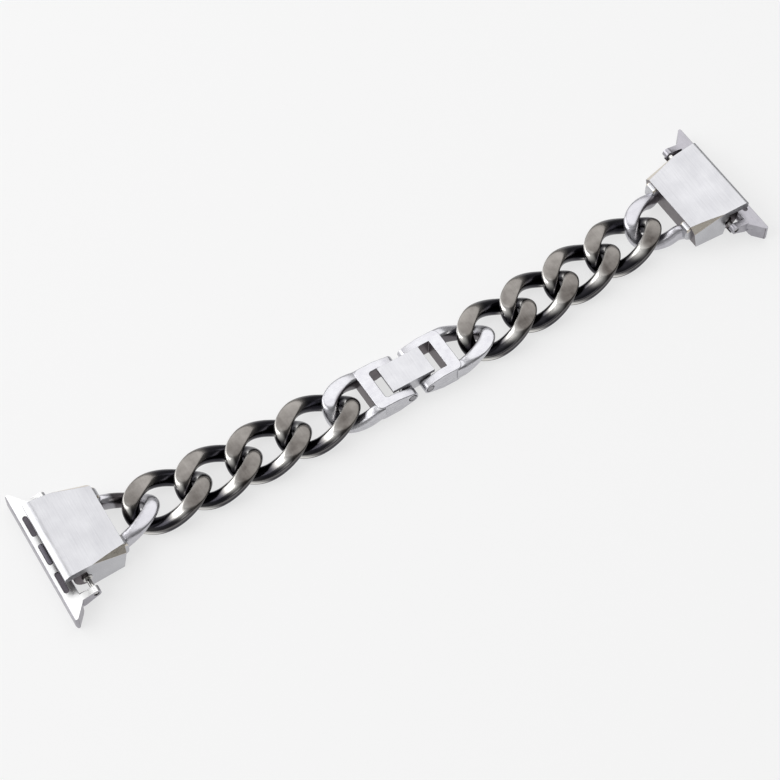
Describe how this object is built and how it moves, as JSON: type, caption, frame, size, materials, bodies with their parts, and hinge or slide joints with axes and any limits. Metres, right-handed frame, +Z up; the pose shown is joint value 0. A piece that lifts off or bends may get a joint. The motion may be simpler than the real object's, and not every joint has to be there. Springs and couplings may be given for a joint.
{
  "type": "watch strap",
  "caption": "Curb-chain steel watch strap with slide-in T-bar connectors, spring bars, tapered end bodies and a small folding clasp.",
  "frame": {"origin": "middle of the strap's box, on the surface it lies on", "axes": "+X runs along the strap towards the right connector, +Y is the far side in the picture, +Z is up"},
  "size_m": [0.127, 0.03, 0.0059],
  "materials": {
    "satin_steel": "brushed across the width",
    "clasp_steel": "satin",
    "dark_steel": "dark oxidised recesses, ground faces",
    "connector_steel": "fine satin",
    "bar_steel": "polished",
    "pin_steel": "plain turned",
    "spring_steel": "drawn wire",
    "pad_rubber": "matt"
  },
  "bodies": {
    "clasp_left": {"clasp_frame_left": "clasp_steel", "clasp_catch_pin": "pin_steel"},
    "hook_leaf": {"clasp_hook_leaf": "clasp_steel"},
    "cover": {"clasp_cover_plate": "clasp_steel"},
    "clasp_right": {"clasp_frame_right": "clasp_steel", "clasp_hinge_pin": "pin_steel"},
    "link_1": {"chain_link_1": "dark_steel"},
    "link_2": {"chain_link_2": "dark_steel"},
    "link_3": {"chain_link_3": "dark_steel"},
    "link_4": {"chain_link_4": "dark_steel"},
    "link_5": {"chain_link_5": "dark_steel"},
    "link_6": {"chain_link_6": "dark_steel"},
    "link_7": {"chain_link_7": "dark_steel"},
    "link_8": {"chain_link_8": "dark_steel"},
    "end_left": {"end_body_left": "satin_steel"},
    "connector_left": {"adapter_left": "connector_steel", "grip_pads_left": "pad_rubber", "spring_bar_barrel_left": "bar_steel", "spring_bar_spring_left": "spring_steel", "detent_spring_left": "spring_steel"},
    "catch_left": {"lock_detent_left": "pin_steel"},
    "tip_left_near": {"spring_bar_tip_left_near": "bar_steel"},
    "tip_left_far": {"spring_bar_tip_left_far": "bar_steel"},
    "end_right": {"end_body_right": "satin_steel"},
    "connector_right": {"adapter_right": "connector_steel", "grip_pads_right": "pad_rubber", "spring_bar_barrel_right": "bar_steel", "spring_bar_spring_right": "spring_steel", "detent_spring_right": "spring_steel"},
    "catch_right": {"lock_detent_right": "pin_steel"},
    "tip_right_near": {"spring_bar_tip_right_near": "bar_steel"},
    "tip_right_far": {"spring_bar_tip_right_far": "bar_steel"}
  },
  "joints": [
    {"name": "swing_clasp_left_link_4", "type": "hinge", "parent": "clasp_left", "child": "link_4", "pos_m": [-0.01221, -0.00297, 0.0018], "axis": [0.0218, -0.9998, 0], "range_deg": [-14, 14]},
    {"name": "swing_link_4_link_3", "type": "hinge", "parent": "link_4", "child": "link_3", "pos_m": [-0.02081, -0.00312, 0.0018], "axis": [0.0175, -0.9998, 0], "range_deg": [-20, 20]},
    {"name": "swing_link_3_link_2", "type": "hinge", "parent": "link_3", "child": "link_2", "pos_m": [-0.02941, -0.00327, 0.0018], "axis": [0.0087, -1, 0], "range_deg": [-20, 20]},
    {"name": "swing_link_2_link_1", "type": "hinge", "parent": "link_2", "child": "link_1", "pos_m": [-0.03801, -0.00327, 0.0018], "axis": [-0.0175, -0.9998, 0], "range_deg": [-20, 20]},
    {"name": "swing_link_1_end_left", "type": "hinge", "parent": "link_1", "child": "end_left", "pos_m": [-0.0466, -0.00297, 0.0018], "axis": [-0.0201, -0.9998, 0], "range_deg": [-16, 16]},
    {"name": "swing_clasp_right_link_5", "type": "hinge", "parent": "clasp_right", "child": "link_5", "pos_m": [0.01213, -0.00233, 0.0018], "axis": [-0.0732, 0.9973, 0], "range_deg": [-14, 14]},
    {"name": "swing_link_5_link_6", "type": "hinge", "parent": "link_5", "child": "link_6", "pos_m": [0.02067, -0.0013, 0.0018], "axis": [-0.1201, 0.9928, 0], "range_deg": [-20, 20]},
    {"name": "swing_link_6_link_7", "type": "hinge", "parent": "link_6", "child": "link_7", "pos_m": [0.02921, -0.00026, 0.0018], "axis": [-0.1201, 0.9928, 0], "range_deg": [-20, 20]},
    {"name": "swing_link_7_link_8", "type": "hinge", "parent": "link_7", "child": "link_8", "pos_m": [0.03775, 0.00077, 0.0018], "axis": [-0.1201, 0.9928, 0], "range_deg": [-20, 20]},
    {"name": "swing_link_8_end_right", "type": "hinge", "parent": "link_8", "child": "end_right", "pos_m": [0.04628, 0.0018, 0.0018], "axis": [-0.0776, 0.997, 0], "range_deg": [-16, 16]},
    {"name": "leaf_on_catch_pin", "type": "hinge", "parent": "clasp_left", "child": "hook_leaf", "pos_m": [-0.00186, -0.0027, 0.0017], "axis": [-0.0262, 0.9997, 0], "range_deg": [-20, 20]},
    {"name": "right_frame_on_hinge_pin", "type": "hinge", "parent": "hook_leaf", "child": "clasp_right", "pos_m": [0.00134, -0.00261, 0.0017], "axis": [-0.0262, 0.9997, 0], "range_deg": [-20, 20]},
    {"name": "cover_opening", "type": "hinge", "parent": "hook_leaf", "child": "cover", "pos_m": [0.00134, -0.00261, 0.0017], "axis": [-0.0262, 0.9997, 0], "range_deg": [0, 110]},
    {"name": "fold_left_connector", "type": "hinge", "parent": "end_left", "child": "connector_left", "pos_m": [-0.05872, -0.00261, 0.0027], "axis": [-0.0052, -1, 0], "range_deg": [0, 60]},
    {"name": "press_left_catch", "type": "slide", "parent": "connector_left", "child": "catch_left", "axis": [0, 0, -1], "range_m": [0, 0.00035], "stiffness_N_per_m": 400, "springref_m": -0.0001, "deforming": ["detent_spring_left"]},
    {"name": "press_left_near_tip", "type": "slide", "parent": "connector_left", "child": "tip_left_near", "axis": [0.0052, 1, 0], "range_m": [0, 0.00095], "stiffness_N_per_m": 400, "springref_m": -0.0005},
    {"name": "press_left_far_tip", "type": "slide", "parent": "connector_left", "child": "tip_left_far", "axis": [-0.0052, -1, 0], "range_m": [0, 0.00095], "stiffness_N_per_m": 400, "springref_m": -0.0005},
    {"name": "fold_right_connector", "type": "hinge", "parent": "end_right", "child": "connector_right", "pos_m": [0.05839, 0.00242, 0.0027], "axis": [-0.0349, 0.9994, 0], "range_deg": [0, 60]},
    {"name": "press_right_catch", "type": "slide", "parent": "connector_right", "child": "catch_right", "axis": [0, 0, -1], "range_m": [0, 0.00035], "stiffness_N_per_m": 400, "springref_m": -0.0001, "deforming": ["detent_spring_right"]},
    {"name": "press_right_near_tip", "type": "slide", "parent": "connector_right", "child": "tip_right_near", "axis": [-0.0349, 0.9994, 0], "range_m": [0, 0.00095], "stiffness_N_per_m": 400, "springref_m": -0.0005},
    {"name": "press_right_far_tip", "type": "slide", "parent": "connector_right", "child": "tip_right_far", "axis": [0.0349, -0.9994, 0], "range_m": [0, 0.00095], "stiffness_N_per_m": 400, "springref_m": -0.0005}
  ]
}
